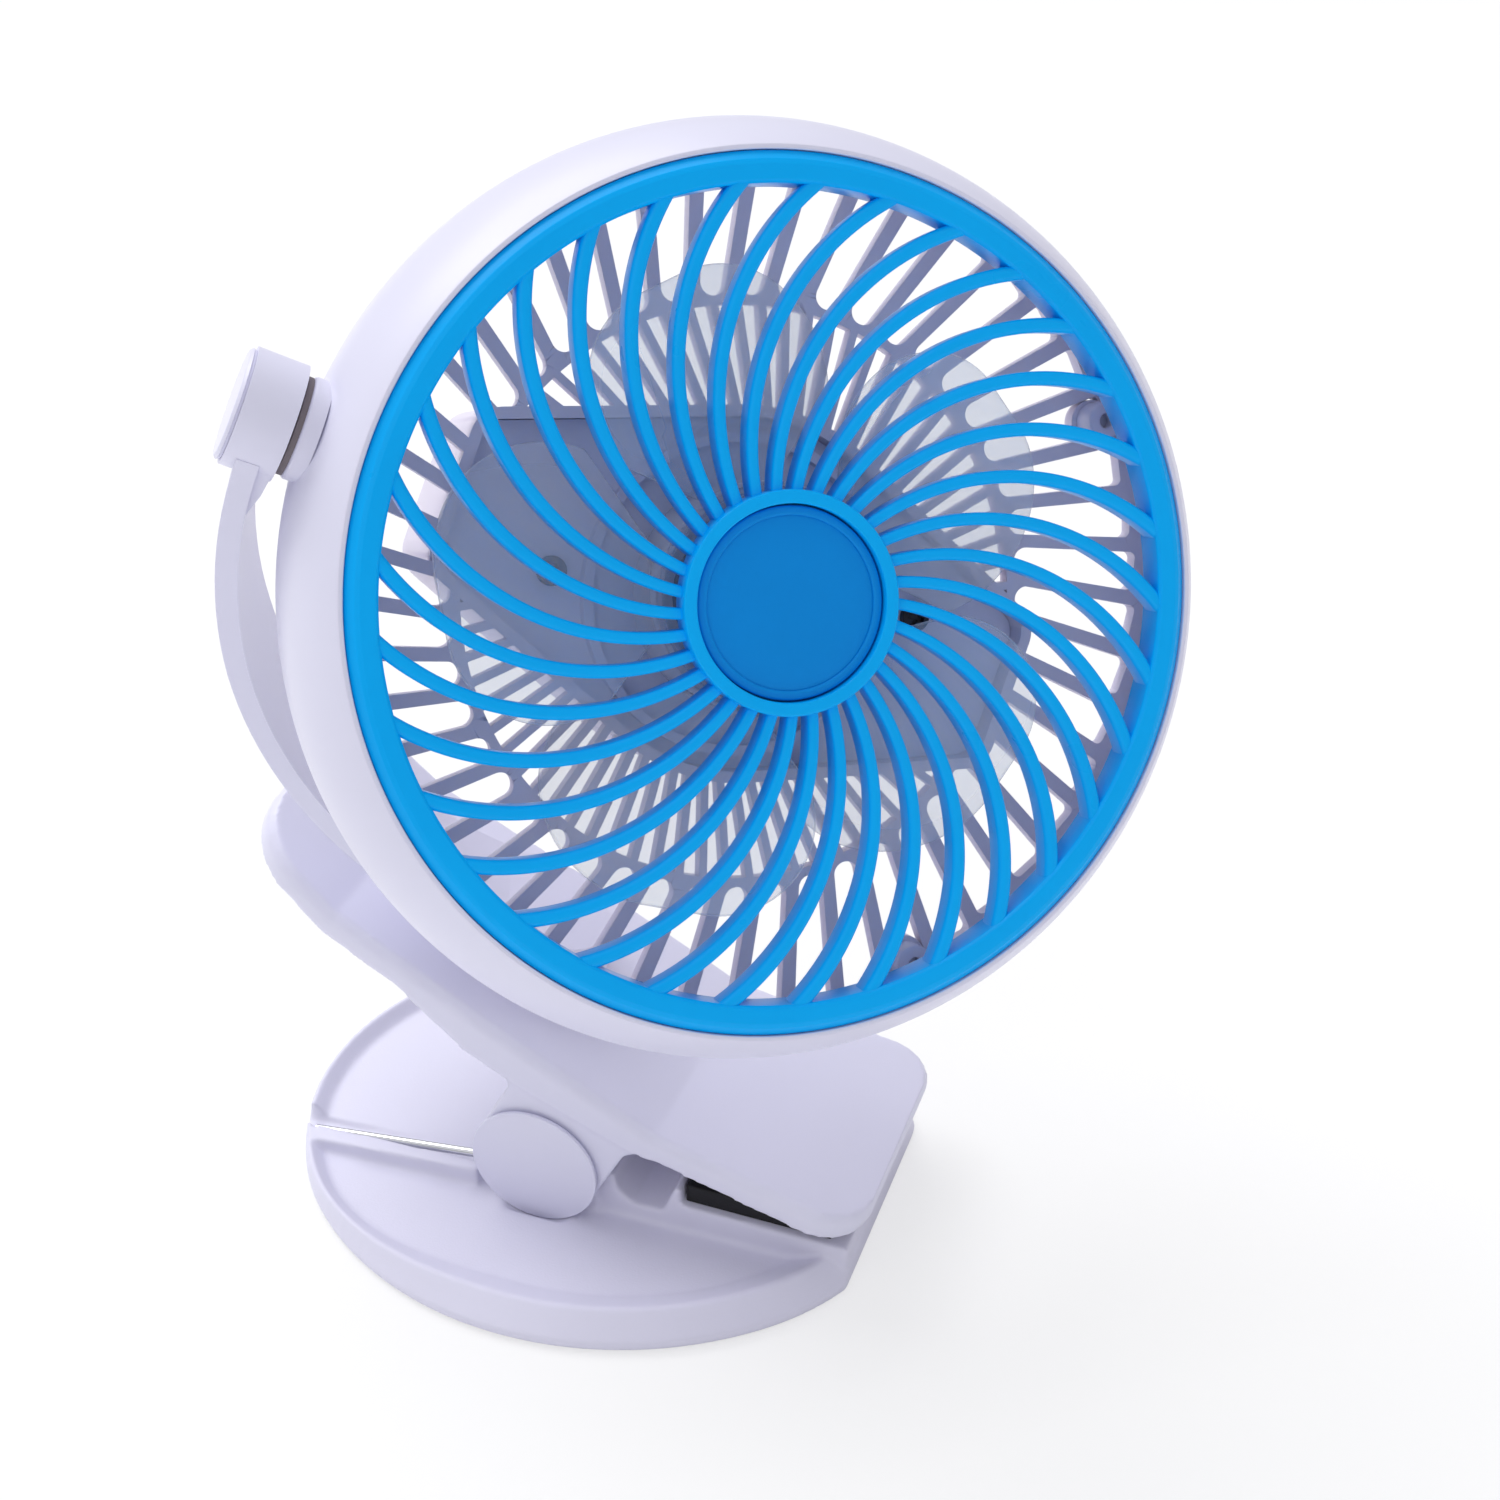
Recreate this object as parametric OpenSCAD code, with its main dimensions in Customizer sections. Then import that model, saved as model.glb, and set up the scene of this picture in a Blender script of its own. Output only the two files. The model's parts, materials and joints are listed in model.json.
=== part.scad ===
// Portable clip-on camping fan: battery head on a one-sided arm over a spring clip that
// doubles as a table foot. Millimetres. z = 0 is the table, +X runs to the jaw tip,
// -Y is the side the fan faces, +Z is up.

/* [Clip] */
// Half length of the oval foot along X
foot_len = 64.4; // [56:0.2:72]
// Half width of the oval foot along Y
foot_wid = 56.7; // [50:0.1:62]
// Where the foot is cut flat at the jaw tip
foot_flat_x = 58.4; // [54:0.2:62]
// Height of the foot's outer wall
foot_wall_h = 2.2; // [1.4:0.1:3]
// Height of the foot's soft ridge
foot_lip_h = 6.5; // [5.5:0.1:8]
// Height of the recessed floor
floor_h = 3.6; // [3:0.2:5]
// Hinge axis position along X
hinge_x = -5; // [-9:0.5:-2]
// Hinge axis height above the table
hinge_z = 15; // [13.5:0.5:18]
// Radius of the steel hinge pin
pin_r = 2.5; // [2:0.1:3]
// Wire radius of the torsion spring
wire_r = 0.9; // [0.7:0.05:1.1]
// Mean radius of the torsion spring's coil
coil_r = 5; // [4.6:0.1:7.5]
// Turns in the torsion spring's coil
coil_turns = 5; // [3:1:7]

/* [Lever] */
// Slope of the lever down to the jaw tip
lever_tilt = 28.5; // [20:0.5:32]
// Gap from the curved arm's outside to the lever's top face
lever_gap = 7.8; // [7:0.2:10]
// Angle by which the lever's two ends bend up
lever_bend = 15.5; // [8:0.5:18]
// Thickness of the lever
lever_t = 6; // [5.6:0.2:8]
// Wall of the lever's hollow
lever_wall = 2.4; // [2:0.1:3]
// Lever end measured from the swivel axis
lever_tail = 57; // [52:0.5:60]
// Lever tip measured from the swivel axis
lever_nose = 82.3; // [76:0.1:84]

/* [Arm] */
// Turn of the arm about the swivel axis
arm_yaw = 24; // [-90:1:90]
// Gap between the barrel and the curved arm
arm_gap = 5.4; // [4.6:0.1:8]
// Thickness of the curved arm
arm_t = 3.7; // [3:0.1:4.5]
// Width of the arm at its foot
arm_w = 23; // [20:0.5:26]
// Height over which the arm narrows to its round end
arm_taper = 45; // [35:1:60]
// Radius of the arm's round end at the tilt axis
knuckle_r = 9.8; // [9:0.1:11]
// Radius of the tilt and swivel screws
axle_r = 2; // [1.5:0.1:2.5]

/* [Head] */
// Upward tilt of the fan face
face_tilt = 39; // [0:1:60]
// Largest outer radius of the barrel shell
shell_r = 80.6; // [78:0.2:82]
// Radius of the barrel's bulge
bulge_r = 34.2; // [30:0.2:40]
// Wall of the barrel shell
shell_wall = 2.2; // [1.8:0.1:3]
// How far the front ring lies inside the barrel's largest radius
ring_inset = 8.1; // [7:0.1:10]
// Front face of the ring ahead of the tilt axis
ring_z = 19; // [17:0.5:21]
// Number of curved spokes in the front grille
spoke_count = 33; // [24:1:40]
// Width of a front spoke
spoke_w = 2.3; // [1.8:0.1:3]
// Depth of a front spoke
spoke_h = 4.6; // [3:0.1:6]
// Number of outer slots in the rear grille
slot_count = 48; // [36:1:60]
// Number of fine inner ribs in the rear grille
inner_rib_count = 72; // [48:1:96]

/* [Drive] */
// Blade tip radius
blade_r = 56.5; // [50:0.5:60]
// Number of blades
blade_count = 5; // [3:1:7]
// Blade pitch
blade_pitch = 17; // [10:1:25]
// Radius of the clear blade hub
rotor_hub_r = 20; // [16:0.5:24]
// Motor can radius
motor_r = 12.5; // [10:0.5:15]
// Motor shaft radius
shaft_r = 1; // [0.75:0.25:1.5]

/* [Hidden] */
$fn = 96;
eps = 0.01;
running = 0.05;              // radial clearance of a turning fit
gap = 0.3;                   // clearance between separate moving bodies
seat = 0.1;                  // clearance of a fitted part in its recess

// the ring and the arm follow the barrel
ring_r = shell_r - ring_inset; arm_r = shell_r + arm_gap + arm_t;

// lever outline and pads, in the lever's frame; its ends bend up at nose_x and tail_x
top_z = -arm_r - lever_gap; under_z = top_z - lever_t; nose_x = 40; tail_x = -34;
tail_r = 14; tail_y = 24; mid_y = 25.8; nose_y = 27.6; nose_r = 9.5; lever_round = 2.4;
skirt_h = 3.5; pad_t = 4.2; pad_y = 20.5; upper_pad_t = 1.5; upper_pad_x0 = 8; pad_inset = 4.8;
pad_end = (lever_nose - pad_inset - nose_x) / cos(lever_bend);

// the shut jaw places the lever, and the lever places the fan's tilt axis
jaw_x = foot_flat_x - 3.5566; jaw_z = floor_h + 10.1131;
touch_x = nose_x + pad_end * cos(lever_bend) + upper_pad_t * sin(lever_bend);
touch_z = under_z + pad_end * sin(lever_bend) - upper_pad_t * cos(lever_bend);
axis_x = jaw_x - touch_x * cos(lever_tilt) - touch_z * sin(lever_tilt);
axis_z = jaw_z + touch_x * sin(lever_tilt) - touch_z * cos(lever_tilt);
hinge_lx = (hinge_x - axis_x) * cos(lever_tilt) - (hinge_z - axis_z) * sin(lever_tilt);
hinge_lz = (hinge_x - axis_x) * sin(lever_tilt) + (hinge_z - axis_z) * cos(lever_tilt);

// foot: an oval of two end arcs and two flatter side arcs
end_r = foot_wid - 4.7; end_x = foot_len - end_r;
side_y = (pow(end_x, 2) - pow(foot_wid - end_r, 2)) / (2 * (foot_wid - end_r));
side_r = foot_wid + side_y;
foot_edge = 0.8; lip_w = 0.6;
ridge_in = 4.7; floor_in = 11;         // inset of the ridge and of the floor's edge
ridge_in_end = 0.7; floor_in_end = 4;  // the same at the -X end, where the rim is steep
rim_turn = 45;                         // angle over which the rim goes from one to the other
root = 0.5;                  // how far ribs and blocks reach into the floor

// hinge: ears on the foot, cheeks on the lever outside them, caps outside those
ear_y0 = 21.3; ear_t = 1.8; ear_y1 = ear_y0 + ear_t; ear_r = 9.2;
cheek_y0 = ear_y1 + gap; cheek_t = 2; cheek_y1 = cheek_y0 + cheek_t; cheek_w = 26;
cap_r = 13.2; cap_t = 2.4; cap_step = 0.6; cap_rim = 0.8;
turn_r = max(cap_r, cheek_w / 2) + gap;
wire_y = -(ear_y0 - wire_r - 0.2);
rib_y = wire_y - wire_r - 0.5; rib_x0 = -foot_len + 8; rib_x1 = hinge_x - turn_r - 0.5;
rib_t0 = 4.2; rib_t1 = 2.8; groove_d = 1.2; groove_x = rib_x1 - 12;
groove_y = wire_y + wire_r + 2.6;      // far edge of the spring's groove
spring_reach = foot_len + hinge_x - 5.6; spring_arm = 45; spring_bend = 3;
leg_drop = asin((hinge_z - coil_r - wire_r - floor_h + groove_d - 0.2) / spring_reach);

// jaw block: shoulder, notch and ramp
block_x0 = hinge_x + 8; block_x1 = foot_flat_x - 0.4; block_y = ear_y0 + 0.9;
ramp_x0 = hinge_x + 29; ramp_slope = 1;
ramp_z0 = jaw_z - gap - pad_t / cos(ramp_slope) + (jaw_x - ramp_x0) * tan(ramp_slope);
pad_len = (jaw_x - ramp_x0) / cos(ramp_slope) - 1.1; pad_stop_t = 1.2;
shoulder_z = ramp_z0 + 3.7; notch_z = ramp_z0 - 2.6; notch_w = 6; notch_flank = 3.4;
notch_b1 = ramp_x0 - 4; notch_b0 = notch_b1 - notch_w;

// swivel and tilt pivots
foot_r = 15; foot_edge_h = 2.6; foot_top = arm_t - arm_r + 0.6; foot_bot = top_z + gap;
swivel_pocket_r = 9; washer_t = 0.8; screw_head_t = 2.2; screw_head_r = 4.2; web_t = 2.6;
screw_bite = 4; swivel_floor = top_z - web_t;
boss_x = shell_r + 1.4; washer_x = boss_x + 1; knuckle_x0 = washer_x + gap;
knuckle_x1 = arm_r + 2; cap_face = knuckle_x1 + 1.1; bore_floor = knuckle_x0 + 3.3;
neck_y = knuckle_r - 1.2; pivot_boss_r = 8.6; pivot_root = shell_r - 10;

// barrel: a ring cut from a circle of bulge_r
bulge_z = -3; bulge_x = shell_r - bulge_r;
function shell_in(z) = bulge_x + sqrt(pow(bulge_r - shell_wall, 2) - pow(z - bulge_z, 2));
cover_z1 = -6.5; cover_t = 3; cover_z0 = cover_z1 - cover_t;
shell_back = cover_z0; shell_lip = 0.8;
shell_front = bulge_z + sqrt(pow(bulge_r, 2) - pow(ring_r + seat + shell_lip - bulge_x, 2));
ring_back = ring_z - 6.2; ring_in = ring_r - 5.3; ledge_t = 2; ledge_r = ring_in + 2.4;
post_r = shell_in(cover_z1) - 4.9; post_d = 3.4; post_top = -1; pilot_r = 1.3; screw_r = 1.25;

// front grille: each spoke is an arc about [arc_x, arc_y], from the hub to the ring
hub_in = 16.3; hub_out = 18.6; hub_top = ring_z + 1; hub_floor = ring_z - 3; hub_t = 1.6;
arc_r = 45.2; arc_x = 10.4; arc_y = -45.3;
function arc_at(rho) = atan2(arc_y, arc_x) + acos((pow(rho, 2) - pow(arc_r, 2)
    - pow(norm([arc_x, arc_y]), 2)) / (2 * arc_r * norm([arc_x, arc_y])));
arc_a0 = arc_at(ring_in + 1.3); arc_a1 = arc_at(hub_out - 1.1);
spoke_top = ring_z - 0.4;

// rear cover: grille disc and battery box
cover_r = shell_in(shell_back) - seat; mid_ring_r = 50; mid_ring_w = 1.6;
slot_w0 = 2.3; slot_w1 = 3.5; slot_cr = 1.2; slot_tilt = 12;
slot_r0 = mid_ring_r + mid_ring_w + slot_w0; slot_len = cover_r - slot_r0 - 4.6;
box_r = 31; box_cx = 48.5; box_cy = 10; box_cr = 4;
box_a = atan2(box_cy, box_cx) + acos((box_r - box_cr) / norm([box_cx, box_cy]));
inner_r0 = box_r - 4; inner_tilt = 14; inner_rib_w = 1.4;
box_wall = 2; box_back = -36; box_rim = -8.5; box_root = box_back + 1;
plate_z0 = -13; plate_t = 2; plate_z1 = plate_z0 + plate_t;
post2_x = 33; post2_y = 7.3; post2_r = 3; ledge2_x = box_cx + box_cr - 2.7; ledge2_w = 2.8;

// battery, board, switch and socket
cell_r = 9.2; cell_l = 65; cell_x = -9.5; cell_y = 5.5; cell_z = -23.5; nub_h = 1.5;
contact_t = 0.5; contact_w = 10; touch = 0.02; cradle_t = 1.6;
contact_x0 = cell_x - cell_l / 2 - 2.5; contact_x1 = cell_x + cell_l / 2 + touch;
board_z = -28; board_t = 1.6; board_y = -14; board_w = 13; board_l = 48; board_x = 2;
usb_y = -8.5; usb_w = 7.8; usb_h = 3; usb_l = 8;
button_r = 5; button_x = 4; button_travel = 0.8; button_h = 3.2; flange_t = 0.8;
button_top = box_back + button_h;
switch_h = 3; light_x = button_x + 13; light_r = 1.5; stand_r = 2;

// motor and blades
recess_r = 28.4; bearing_r = 4; motor_back = plate_z1 - 2.4; motor_front = 2;
rotor_front = 8; rotor_back = -7.5; drum_t = 1.5;
blade_z = 3.5; blade_t = 1.5; blade_phase = 56; blade_r1 = 20.3; blade_r2 = 16.6;
blade_y1 = -6; blade_y2 = 3.5;

white = [0.93, 0.92, 0.95]; blue = [0.02, 0.6, 0.93]; black = [0.05, 0.05, 0.06];
steel = [0.75, 0.76, 0.78]; clear = [0.9, 0.92, 0.96, 0.4]; grey = [0.55, 0.56, 0.66];

// ---- frames ----
module lever_frame() translate([axis_x, 0, axis_z]) rotate([0, lever_tilt, 0]) children();
module arm_frame() lever_frame() rotate([0, 0, arm_yaw]) children();
module head_frame() arm_frame() rotate([90 - face_tilt, 0, 0]) children();
module mirror_y() { children(); mirror([0, 1, 0]) children(); }
module at_hinge() translate([hinge_x, 0, hinge_z]) rotate([90, 0, 0]) children();
module tube(r1, r2, h) difference() { cylinder(r = r1, h = h);
    translate([0, 0, -1]) cylinder(r = r2, h = h + 2); }

// ---- foot (lower jaw) ----
// an oval of four arcs stacked in layers, each [inset of its edge, height, inset at the -X end]
oval_n = 144;
function oval_pt(a, d) = abs(sin(a)) <= side_y / norm([end_x, side_y])
    ? [sign(cos(a)) * end_x + (end_r - d) * cos(a), (end_r - d) * sin(a)]
    : [(side_r - d) * cos(a), -sign(sin(a)) * side_y + (side_r - d) * sin(a)];
function oval_a(i) = (i + 0.5) * 360 / oval_n;
function rim_mix(i) = let (t = max(0, min(1, (abs(oval_a(i) - 180) - rim_turn) / rim_turn)))
    t * t * (3 - 2 * t);
module oval(layers) polyhedron(
    points = [for (l = layers, i = [0 : oval_n - 1])
        let (p = oval_pt(oval_a(i), l[2] + (l[0] - l[2]) * rim_mix(i))) [p[0], p[1], l[1]]],
    faces = concat(
        [[for (i = [0 : oval_n - 1]) i]],
        [[for (i = [oval_n - 1 : -1 : 0]) (len(layers) - 1) * oval_n + i]],
        [for (j = [0 : len(layers) - 2], i = [0 : oval_n - 1])
            let (k = (i + 1) % oval_n, a = j * oval_n + i, b = a + oval_n,
                c = (j + 1) * oval_n + k, d = j * oval_n + k)
            each rim_mix(i) == rim_mix(k) ? [[a, b, c, d]] : [[a, b, c], [a, c, d]]]));
module ear(y) translate([0, y, 0]) rotate([90, 0, 0]) linear_extrude(ear_t) {
    translate([hinge_x, hinge_z]) circle(ear_r);
    polygon([[hinge_x - ear_r - 1.5, floor_h - root], [hinge_x + ear_r + 3, floor_h - root],
        [hinge_x + ear_r, hinge_z], [hinge_x - ear_r, hinge_z]]);
}
// what a plan and a side view have in common
module plan_and_side(plan, side) intersection() {
    linear_extrude(foot_len) polygon(plan);
    rotate([90, 0, 0]) linear_extrude(2 * foot_len, center = true) polygon(side);
}
// a low rib beside the spring's leg, about as high as the wire
module channel_rib() plan_and_side(
    [[rib_x0, rib_y], [rib_x0, rib_y - rib_t0], [rib_x1, rib_y - rib_t1], [rib_x1, rib_y]],
    [[rib_x0, floor_h - root], [rib_x1, floor_h - root], [rib_x1, floor_h + 2 * wire_r + 2.4],
        [rib_x0, foot_lip_h - 0.2]]);
// the groove for that leg: open through the rim, and fading out towards the hinge
module channel_groove() plan_and_side(
    [[-foot_len - 1, rib_y], [-foot_len - 1, groove_y], [groove_x, groove_y + 1.8],
        [groove_x, rib_y]],
    [[-foot_len - 1, floor_h - groove_d], [rib_x0, floor_h - groove_d], [groove_x, floor_h],
        [groove_x, 2 * foot_lip_h], [-foot_len - 1, 2 * foot_lip_h]]);
module jaw_block() difference() {
    translate([0, block_y, 0]) rotate([90, 0, 0]) linear_extrude(2 * block_y)
        polygon([[block_x0, floor_h - root], [block_x1, floor_h - root],
            [block_x1, ramp_z0 - (block_x1 - ramp_x0) * tan(ramp_slope)], [ramp_x0, ramp_z0],
            [ramp_x0, ramp_z0 + pad_t], [ramp_x0 - pad_stop_t, ramp_z0 + pad_t],
            [notch_b1, notch_z], [notch_b0, notch_z], [notch_b0 - notch_flank, ramp_z0],
            [notch_b0 - notch_flank - 0.7, shoulder_z], [block_x0 + 1, shoulder_z]]);
    translate([block_x0 - 1, -block_y + 2, floor_h])
        cube([notch_b0 - notch_flank - block_x0 - 1, 2 * block_y - 4, shoulder_z]);
}
module foot() color(white) difference() {
    union() {
        difference() {
            oval([[foot_edge, 0, foot_edge], [0, foot_edge, 0], [0, foot_wall_h, 0],
                [ridge_in, foot_lip_h, ridge_in_end]]);
            oval([[floor_in, floor_h, floor_in_end],
                [ridge_in + lip_w, foot_lip_h + eps, ridge_in_end + lip_w]]);
            // the tip is cut flat
            translate([foot_flat_x, -foot_wid, -1]) cube([foot_len, 2 * foot_wid, 2 * foot_lip_h]);
            channel_groove();
        }
        mirror_y() ear(ear_y1);
        channel_rib();
        jaw_block();
    }
    at_hinge() translate([0, 0, -cheek_y1]) cylinder(r = pin_r + running, h = 2 * cheek_y1, $fn = 48);
    // room above the floor for the coil, and in the floor for the cheeks and caps
    at_hinge() translate([0, 0, -ear_y0]) cylinder(r = coil_r + 2 * wire_r + 0.4, h = 2 * ear_y0);
    mirror_y() at_hinge() translate([0, 0, ear_y1])
        cylinder(r = turn_r, h = cheek_y1 - ear_y1 + cap_t + gap);
}
module lower_pad() color(black) translate([ramp_x0 + 0.5, -pad_y, ramp_z0 - 0.5 * tan(ramp_slope)])
    rotate([0, ramp_slope, 0]) translate([0, 0, touch]) cube([pad_len, 2 * pad_y, pad_t - touch]);
module hinge_pin() color(steel) at_hinge() translate([0, 0, -cheek_y1])
    cylinder(r = pin_r, h = 2 * cheek_y1, $fn = 48);

// ---- torsion spring: one wire, from the channel in the foot to the hollow of the lever ----
spring_rise = asin((top_z - lever_wall - hinge_lz - coil_r - wire_r - gap) / spring_arm);
coil_a0 = -90 + leg_drop;
coil_a1 = 90 - (lever_tilt + spring_rise) + 360 * (coil_turns - 1);
coil_pitch = 2 * wire_r + 0.25;
coil_n = 30 * coil_turns;
function coil_at(t) = let (a = coil_a0 + (coil_a1 - coil_a0) * t)
    [hinge_x + coil_r * cos(a), wire_y + coil_pitch * (coil_a1 - coil_a0) / 360 * t,
     hinge_z + coil_r * sin(a)];
function unit(v) = v / norm(v);
spring_path = concat(
    [for (l = [spring_reach, spring_bend]) coil_at(0) + l * [-cos(leg_drop), 0, -sin(leg_drop)]],
    [for (i = [0 : coil_n]) coil_at(i / coil_n)],
    [for (l = [spring_bend, spring_arm]) coil_at(1)
        + l * [-cos(lever_tilt + spring_rise), 0, sin(lever_tilt + spring_rise)]]);
spring_n = len(spring_path);
spring_sides = 14;
function spring_way(i) = unit(spring_path[min(i + 1, spring_n - 1)] - spring_path[max(i - 1, 0)]);
module torsion_spring() color(steel) polyhedron(
    points = [for (i = [0 : spring_n - 1])
        let (t = spring_way(i), u = unit(cross([0, 1, 0], t)), w = cross(t, u))
        for (k = [0 : spring_sides - 1])
            spring_path[i] + wire_r * (u * cos(k * 360 / spring_sides) + w * sin(k * 360 / spring_sides))],
    faces = concat(
        [[for (k = [spring_sides - 1 : -1 : 0]) k]],
        [[for (k = [0 : spring_sides - 1]) (spring_n - 1) * spring_sides + k]],
        [for (i = [0 : spring_n - 2], k = [0 : spring_sides - 1]) let (k2 = (k + 1) % spring_sides)
            each [[i * spring_sides + k, i * spring_sides + k2, (i + 1) * spring_sides + k2],
                  [i * spring_sides + k, (i + 1) * spring_sides + k2, (i + 1) * spring_sides + k]]]));

// ---- lever (upper jaw) ----
module lever_plan(d) {
    for (s = [-1, 1]) {
        translate([-lever_tail + tail_r, s * (tail_y - tail_r)]) circle(tail_r - d);
        translate([lever_nose - nose_r, s * (nose_y - nose_r)]) circle(nose_r - d);
    }
    polygon([[-lever_tail + d, -tail_y + tail_r], [-lever_tail + tail_r, -tail_y + d],
        [0, -mid_y + d], [hinge_lx + 14, -mid_y + d], [lever_nose - nose_r, -nose_y + d],
        [lever_nose - d, -nose_y + nose_r], [lever_nose - d, nose_y - nose_r],
        [lever_nose - nose_r, nose_y - d], [hinge_lx + 14, mid_y - d], [0, mid_y - d],
        [-lever_tail + tail_r, tail_y - d], [-lever_tail + d, tail_y - tail_r]]);
}
module cheek() translate([0, cheek_y1, 0]) rotate([90, 0, 0]) linear_extrude(cheek_t) {
    translate([hinge_lx, hinge_lz]) circle(cheek_w / 2);
    translate([hinge_lx - cheek_w / 2, hinge_lz]) square([cheek_w, under_z - hinge_lz + 2]);
    polygon([[hinge_lx - cheek_w / 2 - 2, under_z - skirt_h + 1],
        [hinge_lx + cheek_w / 2 + 3, under_z + 1], [hinge_lx + cheek_w / 2, under_z - skirt_h],
        [hinge_lx - cheek_w / 2, under_z - skirt_h - 2]]);
}
// the lever's side view between two depths below its bent top line
lever_line = [[-lever_tail, top_z + (lever_tail + tail_x) * tan(lever_bend)], [tail_x, top_z],
    [nose_x, top_z], [lever_nose, top_z + (lever_nose - nose_x) * tan(lever_bend)]];
module lever_side(d0, d1) rotate([90, 0, 0]) linear_extrude(4 * nose_y, center = true)
    polygon(concat([for (p = lever_line) p - [0, d0]],
        [for (i = [len(lever_line) - 1 : -1 : 0]) lever_line[i] - [0, d1]]));
// walls down from the lever's plan, far enough to cut or meet its side view
module lever_walls() translate([0, 0, under_z - lever_nose / 2]) linear_extrude(lever_nose) children();
module lever() color(white) lever_frame() difference() {
    union() {
        for (l = [[1.2, 0], [0.35, lever_round / 2], [0, lever_round]]) intersection() {
            lever_walls() lever_plan(l[0]);
            lever_side(l[1], lever_t);
        }
        // deeper side walls over the hinge
        intersection() {
            lever_walls() difference() { lever_plan(0); lever_plan(lever_wall); }
            rotate([90, 0, 0]) linear_extrude(4 * nose_y, center = true)
                polygon([[tail_x / 2, under_z + 1], [tail_x / 2, under_z], [0, under_z - skirt_h],
                    [hinge_lx - cheek_w / 2, under_z - skirt_h], [hinge_lx + cheek_w / 2, under_z - 1],
                    [nose_x + 2, under_z], [nose_x + 2, under_z + 1]]);
        }
        mirror_y() cheek();
    }
    // hollow underside, with a solid nose for the pad and a web under the swivel
    difference() {
        intersection() {
            lever_walls() intersection() { lever_plan(lever_wall + 1.5);
                translate([-lever_tail, -mid_y]) square([lever_tail + nose_x - 3, 2 * mid_y]); }
            lever_side(lever_wall, lever_t + 1);
        }
        translate([0, 0, under_z]) cylinder(r = swivel_pocket_r + 2, h = lever_t);
        for (x = [tail_x, hinge_lx]) translate([x - 1, -mid_y, under_z])
            cube([2, 2 * mid_y, lever_t]);
    }
    translate([0, 0, under_z - 1]) cylinder(r = swivel_pocket_r, h = lever_t - web_t + 1);
    translate([0, 0, under_z]) cylinder(r = axle_r + running, h = lever_t + 1, $fn = 48);
    translate([hinge_lx, 0, hinge_lz]) rotate([90, 0, 0])
        cylinder(r = pin_r, h = 2 * cheek_y1 + 1, center = true, $fn = 48);
}
module upper_pad() color(black) lever_frame() translate([nose_x, 0, under_z])
    rotate([0, -lever_bend, 0]) translate([upper_pad_x0, -pad_y, -upper_pad_t])
    cube([pad_end - upper_pad_x0, 2 * pad_y, upper_pad_t]);
// a domed cap: a step against the cheek, a rim, and a shallow crown
cap_dome = cap_t - cap_step - cap_rim; cap_crown_r = cap_r - 0.6;
dome_r = (pow(cap_crown_r, 2) + pow(cap_dome, 2)) / (2 * cap_dome);
module hinge_caps() color(white) mirror_y() at_hinge() translate([0, 0, cheek_y1]) rotate_extrude() {
    square([cap_r - 0.8, cap_step]);
    translate([0, cap_step]) square([cap_r, cap_rim]);
    intersection() {
        translate([0, cap_t - dome_r]) circle(dome_r, $fn = 360);
        translate([0, cap_step + cap_rim]) square([cap_crown_r, cap_dome]);
    }
}

// ---- arm ----
module arm() color(white) arm_frame() difference() {
    union() {
        intersection() {
            rotate([90, 0, 0]) rotate([0, 0, 182]) rotate_extrude(angle = 88, $fn = 180)
                translate([arm_r - arm_t, -arm_w / 2]) square([arm_t, arm_w]);
            rotate([0, -90, 0]) linear_extrude(arm_r + arm_t)
                polygon([[2, -neck_y - 0.6], [-arm_taper, -arm_w / 2], [-arm_r - arm_t, -arm_w / 2],
                    [-arm_r - arm_t, arm_w / 2], [-arm_taper, arm_w / 2], [2, neck_y + 0.6]]);
        }
        // thicker neck below the round end
        translate([0, neck_y, 0]) rotate([90, 0, 0]) linear_extrude(2 * neck_y)
            polygon([[-knuckle_x0, 0], [-knuckle_x0 - 0.6, -knuckle_r + 0.8],
                [-arm_r + arm_t - 0.2, -2 * knuckle_r], [-arm_r + 2, -1.6 * knuckle_r],
                [-arm_r + 0.6, 0]]);
        translate([-knuckle_x1, 0, 0]) rotate([0, 90, 0])
            cylinder(r = knuckle_r, h = knuckle_x1 - knuckle_x0);
        // round foot on the swivel
        translate([0, 0, foot_bot]) cylinder(r = foot_r, h = foot_edge_h);
        translate([0, 0, foot_bot + foot_edge_h])
            cylinder(r1 = foot_r, r2 = foot_r - 4, h = foot_top - foot_bot - foot_edge_h);
    }
    translate([-bore_floor, 0, 0]) rotate([0, -90, 0])
        cylinder(r = screw_head_r + seat, h = arm_r, $fn = 48);
    translate([-knuckle_x1, 0, 0]) rotate([0, 90, 0])
        cylinder(r = axle_r + running, h = knuckle_x1 - knuckle_x0 + 1, $fn = 48);
    translate([0, 0, foot_bot - 1]) cylinder(r = axle_r, h = screw_bite + 1.5, $fn = 48);
}
module arm_cap() color(white) arm_frame() translate([-knuckle_x1, 0, 0]) rotate([0, -90, 0]) {
    cylinder(r = knuckle_r - 0.7, h = 0.5);
    translate([0, 0, 0.5])
        cylinder(r1 = knuckle_r - 0.4, r2 = knuckle_r - 1, h = cap_face - knuckle_x1 - 0.5);
    translate([0, 0, -1.5]) cylinder(r = screw_head_r, h = 1.6, $fn = 48);
}
module swivel_screw() color(steel) arm_frame() translate([0, 0, swivel_floor - gap - washer_t]) {
    cylinder(r = axle_r, h = foot_bot + screw_bite - swivel_floor + gap + washer_t, $fn = 48);
    difference() {
        translate([0, 0, -screw_head_t]) cylinder(r = screw_head_r, h = screw_head_t);
        translate([0, 0, -screw_head_t - 1]) cross_recess(4, 2.2);
    }
}
module cross_recess(l, h) for (a = [0, 90]) rotate(a) translate([-l / 2, -0.45, 0]) cube([l, 0.9, h]);
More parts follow.
